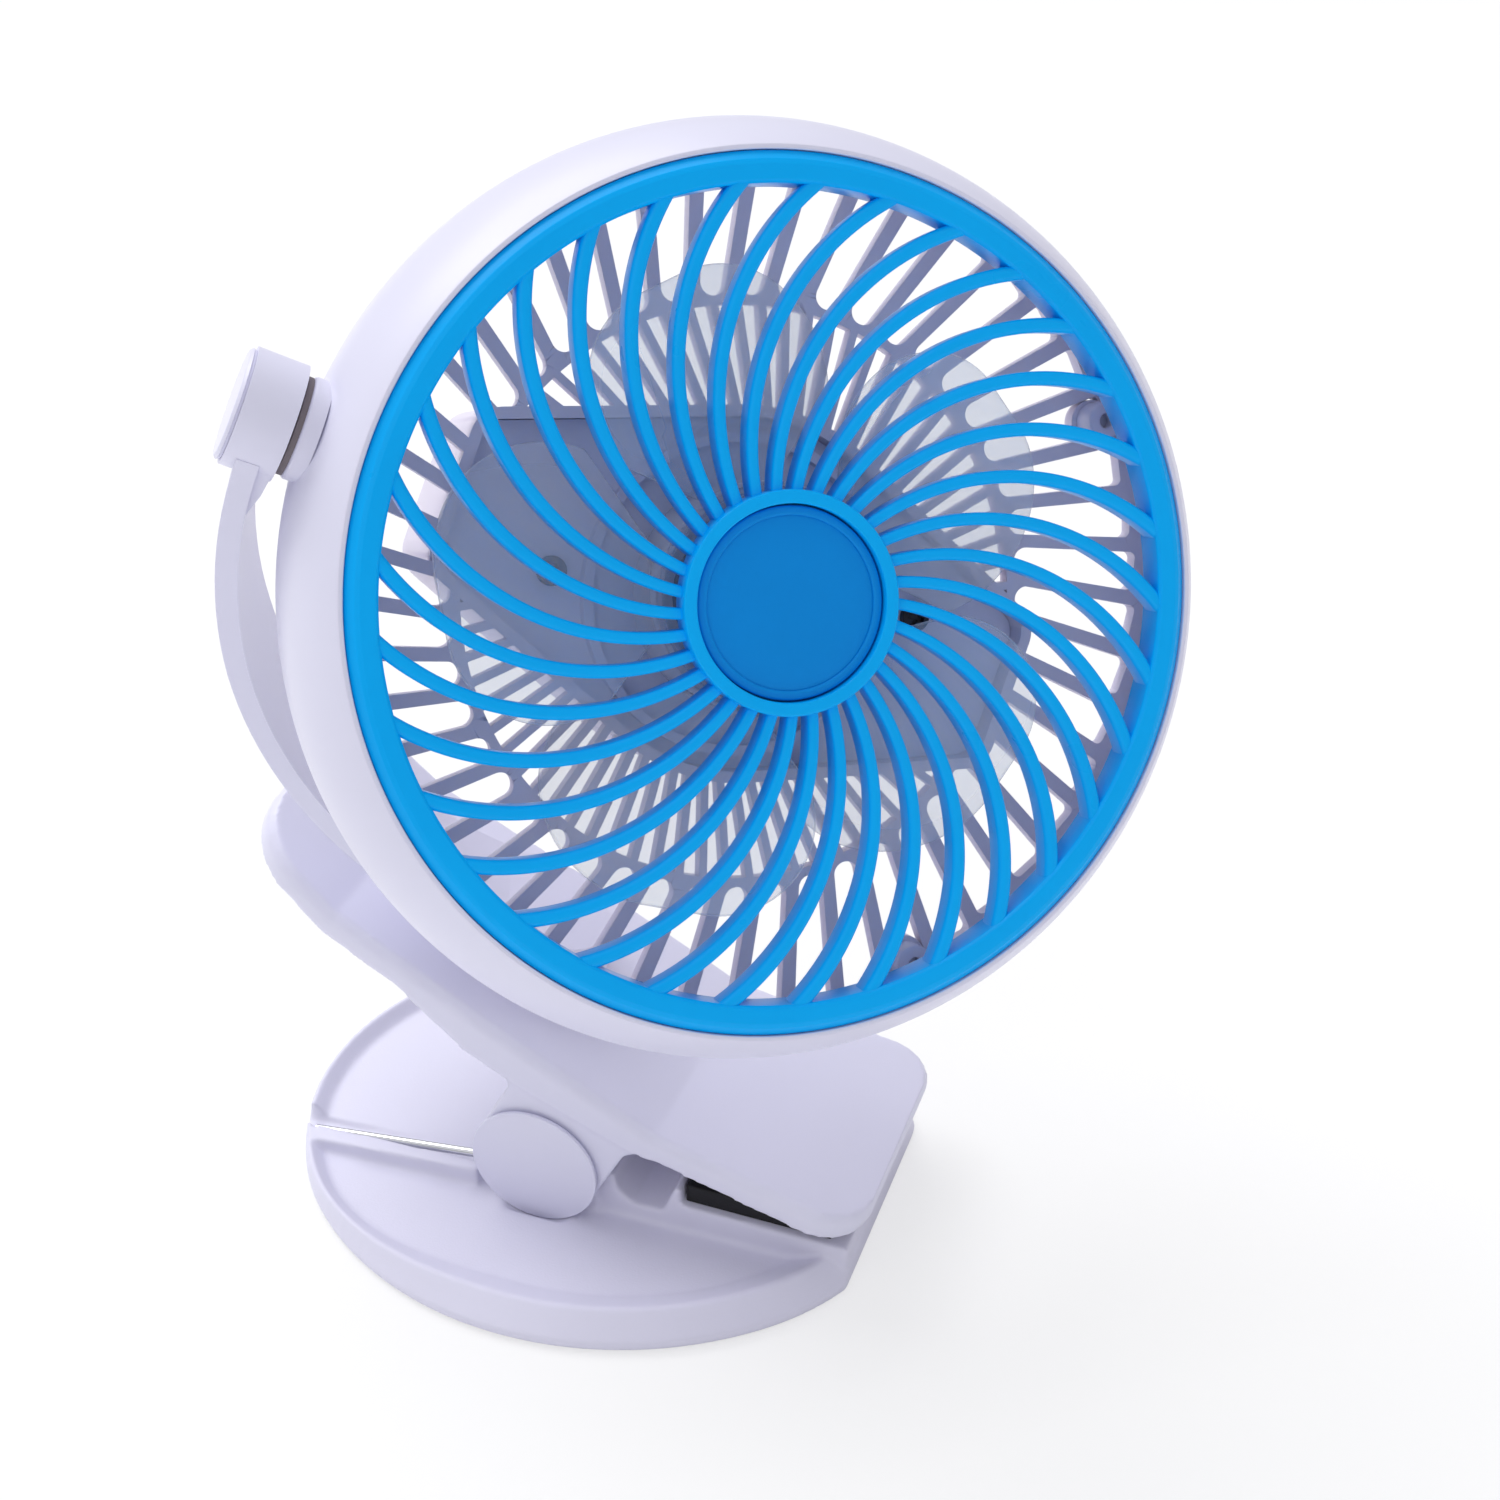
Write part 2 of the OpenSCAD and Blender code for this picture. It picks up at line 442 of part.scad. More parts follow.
module swivel_washer() color(steel) arm_frame() translate([0, 0, swivel_floor - gap - washer_t])
    tube(swivel_pocket_r - 1.4, axle_r + seat, washer_t);

// ---- tilt pivot ----
module pivot_screw() color(steel) head_frame() rotate([0, -90, 0]) {
    translate([0, 0, pivot_root + 0.4])
        cylinder(r = axle_r, h = bore_floor + gap - pivot_root - 0.4, $fn = 48);
    translate([0, 0, bore_floor + gap]) difference() {
        cylinder(r = screw_head_r - gap, h = screw_head_t - 0.2, $fn = 48);
        translate([0, 0, 1.2]) cross_recess(4.4, 2);
    }
}
module pivot_washer() color(grey) head_frame() rotate([0, -90, 0]) translate([0, 0, boss_x])
    tube(pivot_boss_r - 0.4, axle_r + seat, washer_x - boss_x);

// ---- barrel shell ----
module barrel_shell() color(white) head_frame() difference() {
    union() {
        rotate_extrude($fn = 180) difference() {
            intersection() {
                translate([bulge_x, bulge_z]) circle(bulge_r, $fn = 120);
                translate([ring_in - 6, shell_back]) square([shell_r, shell_front - shell_back]);
            }
            translate([bulge_x, bulge_z]) circle(bulge_r - shell_wall, $fn = 120);
            translate([ring_in - 7, ring_back]) square([ring_r + seat - ring_in + 7, ring_z]);
        }
        // ledge that carries the front ring
        translate([0, 0, ring_back - ledge_t])
            tube(shell_in(ring_back - ledge_t) + 0.5, ledge_r, ledge_t, $fn = 180);
        for (a = [45 : 90 : 315]) rotate(a) {
            translate([post_r, 0, cover_z1]) cylinder(r = post_d, h = post_top - cover_z1, $fn = 48);
            translate([post_r, -1, cover_z1])
                cube([shell_in(cover_z1) + shell_wall / 2 - post_r, 2, post_top - cover_z1]);
        }
        rotate([0, -90, 0]) {
            translate([0, 0, shell_r - shell_wall + 0.4])
                cylinder(r = pivot_boss_r, h = boss_x - shell_r + shell_wall - 0.4);
            translate([0, 0, pivot_root]) cylinder(r = axle_r + 3, h = boss_x - pivot_root - 2, $fn = 48);
        }
    }
    for (a = [45 : 90 : 315]) rotate(a) translate([post_r, 0, cover_z1 - 1])
        cylinder(r = pilot_r, h = post_top - cover_z1 + 2, $fn = 32);
    rotate([0, -90, 0]) translate([0, 0, pivot_root - 1])
        cylinder(r = axle_r, h = boss_x - pivot_root + 2, $fn = 48);
}

// ---- front grille ----
module front_grille() color(blue) head_frame() {
    rotate_extrude($fn = 180) {
        polygon([[ring_in, ring_back], [ring_r, ring_back], [ring_r, ring_z - 1.7],
            [ring_r - 1.3, ring_z - 0.4], [ring_r - 1.7, ring_z - 0.1], [ring_r - 2.2, ring_z],
            [ring_in + 0.9, ring_z], [ring_in, ring_z - 0.7]]);
        polygon([[0, hub_floor - hub_t], [hub_out, hub_floor - hub_t], [hub_out, hub_top - 0.4],
            [hub_out - 0.4, hub_top], [hub_in + 0.4, hub_top], [hub_in, hub_top - 0.4],
            [hub_in, hub_floor], [0, hub_floor]]);
    }
    for (i = [0 : spoke_count - 1]) rotate(i * 360 / spoke_count)
        translate([arc_x, arc_y, 0]) rotate(arc_a0)
            rotate_extrude(angle = arc_a1 - arc_a0, $fn = 144) translate([arc_r, 0]) {
                translate([-spoke_w / 2, spoke_top - spoke_h]) square([spoke_w, spoke_h - spoke_w / 2]);
                translate([0, spoke_top - spoke_w / 2]) circle(spoke_w / 2, $fn = 32);
            }
}
badge_t = 2.9; badge_edge = 0.5;
module hub_badge() color([0, 0.5, 0.82]) head_frame() translate([0, 0, hub_floor]) {
    cylinder(r = hub_in - gap, h = badge_t - badge_edge);
    translate([0, 0, badge_t - badge_edge])
        cylinder(r1 = hub_in - gap, r2 = hub_in - gap - 0.7, h = badge_edge);
}

// ---- rear cover: grille and battery box ----
module box_plan(d) {
    circle(box_r + d);
    for (sx = [-1, 1], sy = [-1, 1]) translate([sx * box_cx, sy * box_cy]) circle(box_cr + d, $fn = 32);
    for (s = [0, 180]) rotate(s) polygon([
        [(box_r + d) * cos(box_a), (box_r + d) * sin(box_a)],
        [(box_r + d) * cos(box_a), -(box_r + d) * sin(box_a)],
        [box_cx + (box_cr + d) * cos(box_a), -box_cy - (box_cr + d) * sin(box_a)],
        [box_cx + box_cr + d, -box_cy], [box_cx + box_cr + d, box_cy],
        [box_cx + (box_cr + d) * cos(box_a), box_cy + (box_cr + d) * sin(box_a)]]);
    square([2 * (box_r + d) * cos(box_a) + 1, 2 * (box_r + d) * sin(box_a)], center = true);
}
module slot_plan() translate([slot_r0, 0]) rotate(-slot_tilt) {
    circle(slot_w0, $fn = 24);
    for (s = [-1, 1]) translate([slot_len + 1.6, s * (slot_w1 - slot_cr)]) circle(slot_cr, $fn = 24);
    polygon([[0, -slot_w0], [slot_len + 1.6, -slot_w1], [slot_len + 1.6 + slot_cr, slot_cr - slot_w1],
        [slot_len + 1.6 + slot_cr, slot_w1 - slot_cr], [slot_len + 1.6, slot_w1], [0, slot_w0]]);
}
module grille_plan() difference() {
    union() {
        difference() {
            circle(cover_r, $fn = 180);
            circle(mid_ring_r, $fn = 144);
            for (i = [0 : slot_count - 1]) rotate((i + 0.5) * 360 / slot_count) slot_plan();
        }
        for (i = [0 : inner_rib_count - 1]) rotate(i * 360 / inner_rib_count)
            translate([inner_r0, -inner_rib_w / 2]) rotate(inner_tilt)
                square([(mid_ring_r + 0.9 - inner_r0) / cos(inner_tilt), inner_rib_w]);
        box_plan(box_wall);
        for (a = [45 : 90 : 315]) rotate(a) translate([post_r - 0.3, 0]) circle(post_d + 0.6, $fn = 48);
    }
    box_plan(0);
    for (a = [45 : 90 : 315]) rotate(a) translate([post_r, 0]) circle(pilot_r + 0.2, $fn = 32);
}
// what stands on the box's floor: posts and pillars under the plate, stands under the
// board, a cradle under the cell and a wall behind each of its contacts
module box_floor() {
    for (s = [-1, 1]) {
        translate([s * post2_x, s * post2_y, box_root])
            cylinder(r = post2_r, h = plate_z0 - box_root, $fn = 48);
        translate([s * ledge2_x - ledge2_w / 2, 3, box_root]) cube([ledge2_w, 3, plate_z0 - box_root]);
        translate([board_x + s * 20, board_y - 3, box_root])
            cylinder(r = stand_r, h = board_z - box_root, $fn = 32);
    }
    difference() {
        for (x = [-0.4, 0.4]) translate([cell_x + x * cell_l - cradle_t / 2, cell_y - cell_r + 1, box_root])
            cube([cradle_t, 2 * cell_r - 2, cell_z - cell_r / 3 - box_root]);
        translate([cell_x - cell_l / 2, cell_y, cell_z]) rotate([0, 90, 0])
            cylinder(r = cell_r + seat, h = cell_l);
    }
    for (x = [contact_x0 - cradle_t, contact_x1 + contact_t])
        translate([x, cell_y - contact_w / 2, box_root])
            cube([cradle_t, contact_w, cell_z + contact_w / 2 - box_root]);
}
module rear_cover() color(white) head_frame() difference() {
    union() {
        translate([0, 0, cover_z0]) linear_extrude(cover_t) grille_plan();
        difference() {
            translate([0, 0, box_back]) linear_extrude(box_rim - box_back) box_plan(box_wall);
            translate([0, 0, box_back + box_wall]) linear_extrude(-box_back) box_plan(0);
        }
        box_floor();
    }
    for (s = [-1, 1]) translate([s * post2_x, s * post2_y, plate_z0 - 10])
        cylinder(r = pilot_r, h = 20, $fn = 32);
    translate([button_x, board_y, box_back - 1]) cylinder(r = button_r + gap, h = box_wall + 2, $fn = 48);
    translate([light_x, board_y, box_back - 1]) cylinder(r = light_r + seat, h = box_wall + 2, $fn = 32);
    translate([box_cx, usb_y - usb_w / 2 - 0.2, board_z - usb_h - 0.3])
        cube([2 * box_cr + box_wall, usb_w + 0.4, usb_h + 0.4]);
}
module shell_screws() color(steel) head_frame() for (a = [45 : 90 : 315]) rotate(a)
    translate([post_r, 0, 0]) machine_screw(cover_z0, 6, false);
// a pan screw whose head seats at z: shank up when up is false, shank down when it is true
module machine_screw(z, len, up) translate([0, 0, z]) mirror([0, 0, up ? 1 : 0]) {
    cylinder(r = screw_r, h = len, $fn = 32);
    difference() {
        translate([0, 0, -1.6]) cylinder(r = 2.6, h = 1.6, $fn = 48);
        translate([0, 0, -2.6]) cross_recess(3, 2);
    }
}

// ---- motor, blades, electrics ----
module motor_plate() color(grey) head_frame() translate([0, 0, plate_z0]) difference() {
    union() {
        linear_extrude(plate_t) box_plan(-seat);
        translate([0, 0, plate_t]) tube(recess_r, recess_r - 1.8, 2.4);
        translate([0, 0, plate_t]) tube(motor_r + 2, motor_r + seat, 3);
    }
    for (s = [-1, 1]) translate([s * post2_x, s * post2_y, -1])
        cylinder(r = pilot_r + 0.2, h = 3 * plate_t, $fn = 32);
    translate([0, 0, -1]) cylinder(r = bearing_r + seat, h = 3 * plate_t, $fn = 48);
}
module plate_screws() color(black) head_frame() for (s = [-1, 1])
    translate([s * post2_x, s * post2_y, 0]) machine_screw(plate_z1, 8, true);
module motor_can() color([0.25, 0.25, 0.28]) head_frame() difference() {
    union() {
        translate([0, 0, plate_z1]) cylinder(r = motor_r, h = motor_front - plate_z1 - 1);
        translate([0, 0, motor_front - 1]) cylinder(r1 = motor_r, r2 = motor_r - 1, h = 1);
        translate([0, 0, motor_back]) cylinder(r = bearing_r, h = plate_z1 - motor_back + 0.1, $fn = 48);
        translate([0, 0, motor_front]) cylinder(r = bearing_r - 1, h = 1, $fn = 48);
    }
    translate([0, 0, motor_back + 1]) cylinder(r = shaft_r + running, h = 2 * motor_r, $fn = 32);
}
module motor_shaft() color(steel) head_frame() translate([0, 0, motor_back + 1 + gap])
    cylinder(r = shaft_r, h = rotor_front + 2.2 - motor_back - 1 - gap, $fn = 32);
module petal_plan() {
    translate([sqrt(pow(blade_r - blade_r2 - 1.6, 2) - pow(blade_y2, 2)), blade_y2]) circle(blade_r2);
    translate([sqrt(pow(blade_r - blade_r1, 2) - pow(blade_y1, 2)), blade_y1]) circle(blade_r1);
    polygon([[rotor_hub_r - 1.5, 5.5], [rotor_hub_r - 1.5, -9], [blade_r - 26.5, -25.3],
        [blade_r - 20.5, 19.5], [blade_r - 28.5, 15.8]]);
}
module impeller() color(clear) head_frame() difference() {
    union() {
        translate([0, 0, rotor_back]) tube(rotor_hub_r, rotor_hub_r - drum_t, rotor_front - rotor_back - 1);
        translate([0, 0, rotor_front - drum_t]) cylinder(r = rotor_hub_r - 1, h = drum_t);
        translate([0, 0, rotor_front - 4]) cylinder(r = shaft_r + 3, h = 4, $fn = 48);
        for (i = [0 : blade_count - 1]) rotate(blade_phase + i * 360 / blade_count) difference() {
            intersection() {
                translate([0, 0, -blade_r]) linear_extrude(2 * blade_r) petal_plan();
                translate([0, 0, blade_z]) rotate([blade_pitch, 0, 0])
                    translate([0, -blade_r, -blade_t / 2]) cube([2 * blade_r, 2 * blade_r, blade_t]);
            }
            translate([0, 0, -blade_r]) cylinder(r = rotor_hub_r - 1, h = 2 * blade_r);
        }
    }
    cylinder(r = shaft_r, h = 3 * rotor_front, center = true, $fn = 32);
}
module rotor_clip() color(steel) head_frame() translate([0, 0, rotor_front + touch])
    tube(shaft_r + 1.4, shaft_r, 0.8, $fn = 32);
module battery_cell() color([0.1, 0.45, 0.35]) head_frame()
    translate([cell_x - cell_l / 2, cell_y, cell_z]) rotate([0, 90, 0]) {
        cylinder(r = cell_r, h = cell_l - nub_h);
        translate([0, 0, cell_l - nub_h]) cylinder(r = 3, h = nub_h, $fn = 32);
    }
module contact_plate(x) translate([x, cell_y - contact_w / 2, cell_z - contact_w / 2])
    cube([contact_t, contact_w, contact_w]);
module battery_contacts() color(steel) head_frame() {
    contact_plate(contact_x0);
    contact_plate(contact_x1);
    translate([contact_x0 + contact_t, cell_y, cell_z]) rotate([0, 90, 0])
        cylinder(r1 = 4, r2 = 2, h = cell_x - cell_l / 2 - contact_x0 - contact_t - touch);
}
module circuit_board() color([0.1, 0.4, 0.2]) head_frame() translate([0, 0, board_z]) {
    translate([board_x - board_l / 2, board_y - board_w / 2, 0]) cube([board_l, board_w, board_t]);
    translate([board_x, usb_y - usb_w / 2, 0]) cube([box_cx + 3 - board_x, usb_w, board_t]);
}
module usb_socket() color(steel) head_frame()
    translate([box_cx + box_cr + box_wall - usb_l - 0.3, usb_y - usb_w / 2, board_z - usb_h - seat])
    difference() {
        cube([usb_l, usb_w, usb_h]);
        translate([1, 0.5, 0.5]) cube([usb_l, usb_w - 1, usb_h - 1]);
    }
module tact_switch() color(black) head_frame() translate([button_x, board_y, 0]) {
    translate([-3, -3, board_z - switch_h]) cube([6, 6, switch_h - touch]);
    translate([0, 0, button_top + button_travel + 0.2])
        cylinder(r = 1.7, h = board_z - switch_h - button_top - button_travel - 0.1, $fn = 32);
}
module charge_light() color([0.9, 0.9, 0.85]) head_frame() translate([light_x, board_y, box_back - 0.3])
    cylinder(r = light_r, h = board_z - box_back + 0.3 - touch, $fn = 32);
module power_button() color(white) head_frame() translate([button_x, board_y, box_back]) {
    translate([0, 0, -1.6]) cylinder(r1 = button_r - 0.5, r2 = button_r, h = 0.5, $fn = 48);
    translate([0, 0, -1.1]) cylinder(r = button_r, h = button_h - flange_t + 1.2, $fn = 48);
    translate([0, 0, button_h - flange_t]) cylinder(r = button_r + 1.4, h = flange_t, $fn = 48);
}

foot();
lower_pad();
hinge_pin();
torsion_spring();
lever();
upper_pad();
hinge_caps();
arm();
arm_cap();
swivel_screw();
swivel_washer();
pivot_screw();
pivot_washer();
barrel_shell();
front_grille();
hub_badge();
rear_cover();
shell_screws();
motor_plate();
plate_screws();
motor_can();
motor_shaft();
impeller();
rotor_clip();
battery_cell();
battery_contacts();
circuit_board();
usb_socket();
tact_switch();
charge_light();
power_button();
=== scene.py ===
"""Looks of the portable camping fan. Piece sizes are millimetres in the head's own frame: its
origin is on the tilt axis, X runs along that axis and Z out of the grille."""
import bpy
import bmesh
import json
from math import acos, atan2, cos, hypot, pi, radians, sin, sqrt, tan
from mathutils import Matrix, Vector


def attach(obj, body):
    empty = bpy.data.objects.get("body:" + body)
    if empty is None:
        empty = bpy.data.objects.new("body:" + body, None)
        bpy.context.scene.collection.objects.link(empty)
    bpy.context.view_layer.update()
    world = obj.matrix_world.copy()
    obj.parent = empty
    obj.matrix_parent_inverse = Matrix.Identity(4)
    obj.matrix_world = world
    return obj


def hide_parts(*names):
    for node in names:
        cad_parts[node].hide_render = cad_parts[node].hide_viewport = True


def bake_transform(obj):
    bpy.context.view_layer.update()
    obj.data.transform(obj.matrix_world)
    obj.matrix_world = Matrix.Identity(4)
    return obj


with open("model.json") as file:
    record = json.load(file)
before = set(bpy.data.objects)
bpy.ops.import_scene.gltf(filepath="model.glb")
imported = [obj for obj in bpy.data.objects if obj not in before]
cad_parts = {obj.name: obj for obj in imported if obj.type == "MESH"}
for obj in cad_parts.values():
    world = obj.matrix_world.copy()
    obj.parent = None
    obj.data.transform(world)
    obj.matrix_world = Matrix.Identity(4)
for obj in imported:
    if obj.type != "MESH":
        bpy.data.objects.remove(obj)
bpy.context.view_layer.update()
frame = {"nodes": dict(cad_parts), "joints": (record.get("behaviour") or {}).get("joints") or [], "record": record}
NODES = frame["nodes"]
JOINTS = {j["name"]: j for j in frame["joints"]}
PER_M = 1000   # millimetres in a metre


def head_frame():
    """Takes the head's millimetres to metres in the part's frame."""
    x_axis = Vector(JOINTS["head_tilt"]["axis"])
    z_axis = Vector(JOINTS["impeller_spin"]["axis"])
    m = Matrix((x_axis, z_axis.cross(x_axis), z_axis)).transposed().to_4x4()
    m.translation = Vector(JOINTS["head_tilt"]["pos_m"])
    return m @ Matrix.Scale(1 / PER_M, 4)


HEAD = head_frame()

# ---- meshes ----
SAME_POINT = 1e-7      # metres; points of one piece nearer than this are one point
ON_AXIS = 1e-6         # millimetres; a radius under this is a pole
CORNER_SHARE = 0.48    # the most that a rounded corner takes of each edge beside it


def link(obj):
    """Puts an object into the scene."""
    bpy.context.scene.collection.objects.link(obj)
    return obj


def make(name, verts, faces, matrix, mat, body, slot, replaces=(), sharp=35):
    """A smooth piece of the scene, sharp where its faces meet at more than so many degrees."""
    mesh = bpy.data.meshes.new(name)
    mesh.from_pydata([matrix @ Vector(v) for v in verts], [], faces)
    bm = bmesh.new()
    bm.from_mesh(mesh)
    bmesh.ops.remove_doubles(bm, verts=bm.verts, dist=SAME_POINT)
    bmesh.ops.recalc_face_normals(bm, faces=bm.faces)
    bm.to_mesh(mesh)
    bm.free()
    for p in mesh.polygons:
        p.use_smooth = True
    mesh.set_sharp_from_angle(angle=radians(sharp))
    obj = link(bpy.data.objects.new(name, mesh))
    obj.data.materials.append(mat)
    if body:
        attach(obj, body)
    if replaces:
        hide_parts(*replaces)
    return obj


def fillet(points, n=4):
    """Rounds the corners of a closed outline; a point is (x, y, radius), or (x, y) if sharp."""
    out = []
    count = len(points)
    for i, p in enumerate(points):
        r = p[2] if len(p) > 2 else 0
        here = Vector(p[:2])
        if r <= 0:
            out.append((here.x, here.y))
            continue
        a = Vector(points[i - 1][:2]) - here
        b = Vector(points[(i + 1) % count][:2]) - here
        la, lb = a.length, b.length
        a.normalize()
        b.normalize()
        half = a.angle(b) / 2
        t = min(r / tan(half), CORNER_SHARE * la, CORNER_SHARE * lb)
        r = t * tan(half)
        c = here + (a + b).normalized() * (r / sin(half))
        s, e = here + a * t - c, here + b * t - c
        turn = atan2(s.x * e.y - s.y * e.x, s.dot(e))
        for k in range(n + 1):
            g = turn * k / n
            out.append((c.x + s.x * cos(g) - s.y * sin(g), c.y + s.x * sin(g) + s.y * cos(g)))
    return out


def lathe(profile, n):
    """A closed outline (radius, z) turned about Z. Points on the axis become poles."""
    verts, faces, rings = [], [], []
    for r, z in profile:
        if r < ON_AXIS:
            rings.append([len(verts)])
            verts.append((0, 0, z))
        else:
            rings.append(list(range(len(verts), len(verts) + n)))
            verts += [(r * cos(2 * pi * i / n), r * sin(2 * pi * i / n), z) for i in range(n)]
    for a, b in zip(rings, rings[1:] + rings[:1]):
        if len(a) == 1 and len(b) == 1:
            continue
        for i in range(n):
            j = (i + 1) % n
            if len(a) == 1:
                faces.append((a[0], b[j], b[i]))
            elif len(b) == 1:
                faces.append((a[i], a[j], b[0]))
            else:
                faces.append((a[i], a[j], b[j], b[i]))
    return verts, faces


def walls(count, n):
    """Faces between one ring of n points and the next, for so many rings."""
    return [(k * n + i, k * n + (i + 1) % n, (k + 1) * n + (i + 1) % n, (k + 1) * n + i)
            for k in range(count - 1) for i in range(n)]


def loft(rings):
    """Closed rings of equal count joined one to the next, with both ends filled."""
    n = len(rings[0])
    verts = [v for r in rings for v in r]
    ends = [tuple(range(n - 1, -1, -1)), tuple((len(rings) - 1) * n + i for i in range(n))]
    return verts, ends + walls(len(rings), n)


def join(parts):
    """Several meshes as one list of points and one of faces."""
    verts, faces = [], []
    for v, f in parts:
        k = len(verts)
        verts += v
        faces += [tuple(i + k for i in g) for g in f]
    return verts, faces


def moved(part, matrix):
    return [tuple(matrix @ Vector(v)) for v in part[0]], part[1]


def spaced(start, span, steps):
    """Evenly spaced values over the span, both ends included."""
    return [start + span * k / steps for k in range(steps + 1)]


# ---- materials ----
CLOUD_FROM, CLOUD_TO = 0.2, 0.8    # noise values at which the two shades of a colour are full
GRAIN_DEPTH = 0.0001               # metres
PLASTIC_IOR = 1.47


def material(name, color, rough, vary, grain=0.0, grain_scale=1500.0, specular=0.5,
             metallic=0.0, transmission=0.0, cloud_scale=40.0):
    """A clouded colour with a clouded roughness, and a fine grain where it is asked for."""
    mat = bpy.data.materials.new(name)
    mat.use_nodes = True
    nodes, links = mat.node_tree.nodes, mat.node_tree.links
    shader = nodes["Principled BSDF"]
    coord = nodes.new("ShaderNodeTexCoord")

    def noise(scale, detail):
        node = nodes.new("ShaderNodeTexNoise")
        node.inputs["Scale"].default_value = scale
        node.inputs["Detail"].default_value = detail
        links.new(coord.outputs["Object"], node.inputs["Vector"])
        return node.outputs["Fac"]

    cloud = noise(cloud_scale, 3)
    ramp = nodes.new("ShaderNodeValToRGB")
    dark, light = ramp.color_ramp.elements
    dark.position, light.position = CLOUD_FROM, CLOUD_TO
    dark.color = [c * (1 - vary) for c in color] + [1]
    light.color = [min(1, c * (1 + vary / 2)) for c in color] + [1]
    links.new(cloud, ramp.inputs["Fac"])
    links.new(ramp.outputs["Color"], shader.inputs["Base Color"])
    spread = nodes.new("ShaderNodeMapRange")
    spread.inputs["To Min"].default_value, spread.inputs["To Max"].default_value = rough
    links.new(cloud, spread.inputs["Value"])
    links.new(spread.outputs["Result"], shader.inputs["Roughness"])
    if grain:
        bump = nodes.new("ShaderNodeBump")
        bump.inputs["Strength"].default_value = grain
        bump.inputs["Distance"].default_value = GRAIN_DEPTH
        links.new(noise(grain_scale, 2), bump.inputs["Height"])
        links.new(bump.outputs["Normal"], shader.inputs["Normal"])
    for socket, value in (("Specular IOR Level", specular), ("Metallic", metallic),
                          ("Transmission Weight", transmission), ("IOR", PLASTIC_IOR)):
        shader.inputs[socket].default_value = value
    return mat


WHITE = material("white_plastic", (0.75, 0.745, 0.885), rough=(0.28, 0.38), vary=0.015,
                 grain=0.05, specular=0.45)
FOOT_WHITE = material("grained_plastic", (0.74, 0.73, 0.86), rough=(0.4, 0.52), vary=0.02,
                      grain=0.35, grain_scale=2400, specular=0.4)
# the white plastic again, tinted mauve and lighter in red: painted shade and light from inside the head
REAR_SHADE_TINT = material("rear_plastic_shade_tint", (0.78, 0.735, 0.85), rough=(0.35, 0.5), vary=0.05, grain=0.1)
BLUE = material("blue_plastic", (0.0, 0.44, 1.0), rough=(0.24, 0.34), vary=0.05,
                grain=0.15, specular=0.15)
BADGE = material("badge_plastic", (0.0, 0.26, 0.74), rough=(0.4, 0.55), vary=0.08,
                 grain=0.3, grain_scale=1800, specular=0.15)
CLEAR = material("clear_plastic", (0.93, 0.94, 0.99), rough=(0.06, 0.12), vary=0.02,
                 cloud_scale=25)
PLATE = material("plate_plastic", (0.78, 0.79, 0.98), rough=(0.35, 0.5), vary=0.08, grain=0.2)
WASHER = material("washer_fibre", (0.20, 0.17, 0.18), rough=(0.5, 0.7), vary=0.15, grain=0.5)
PAD = material("pad_rubber", (0.008, 0.008, 0.009), rough=(0.45, 0.65), vary=0.2,
               grain=0.6, specular=0.4)
STEEL = material("wire_steel", (0.72, 0.73, 0.75), rough=(0.12, 0.25), vary=0.05,
                 metallic=1.0, grain=0.1)
SCREW = material("screw_steel", (0.55, 0.55, 0.57), rough=(0.2, 0.35), vary=0.06,
                 metallic=1.0, grain=0.1)
DARK = material("dark_screw", (0.02, 0.02, 0.025), rough=(0.35, 0.5), vary=0.2, grain=0.2)
# nearly black: partly the can's own dark metal, partly painted shade from inside the hub
MOTOR = material("motor_metal", (0.045, 0.05, 0.065), rough=(0.3, 0.45), vary=0.12,
                 metallic=0.8, grain=0.1)
SLEEVE = material("cell_sleeve", (0.05, 0.35, 0.28), rough=(0.2, 0.3), vary=0.05)
BOARD = material("board_green", (0.02, 0.16, 0.06), rough=(0.35, 0.5), vary=0.1)
BLACK = material("switch_black", (0.02, 0.02, 0.02), rough=(0.4, 0.55), vary=0.1)
LIGHT = material("light_pipe", (0.9, 0.9, 0.86), rough=(0.1, 0.2), vary=0.02, transmission=0.6)

# the clear plastic's white film grows more opaque where it is seen edge on, standing in for its stronger
# reflection there: a painted reflection
CLEAR_FACE, CLEAR_EDGE, CLEAR_BLEND = 0.22, 0.85, 0.3
clear_nodes, clear_links = CLEAR.node_tree.nodes, CLEAR.node_tree.links
edge = clear_nodes.new("ShaderNodeLayerWeight")
edge.inputs["Blend"].default_value = CLEAR_BLEND
milk_and_edge_sheen = clear_nodes.new("ShaderNodeMapRange")
milk_and_edge_sheen.inputs["To Min"].default_value, milk_and_edge_sheen.inputs["To Max"].default_value = CLEAR_FACE, CLEAR_EDGE
clear_links.new(edge.outputs["Facing"], milk_and_edge_sheen.inputs["Value"])
clear_links.new(milk_and_edge_sheen.outputs["Result"], clear_nodes["Principled BSDF"].inputs["Alpha"])

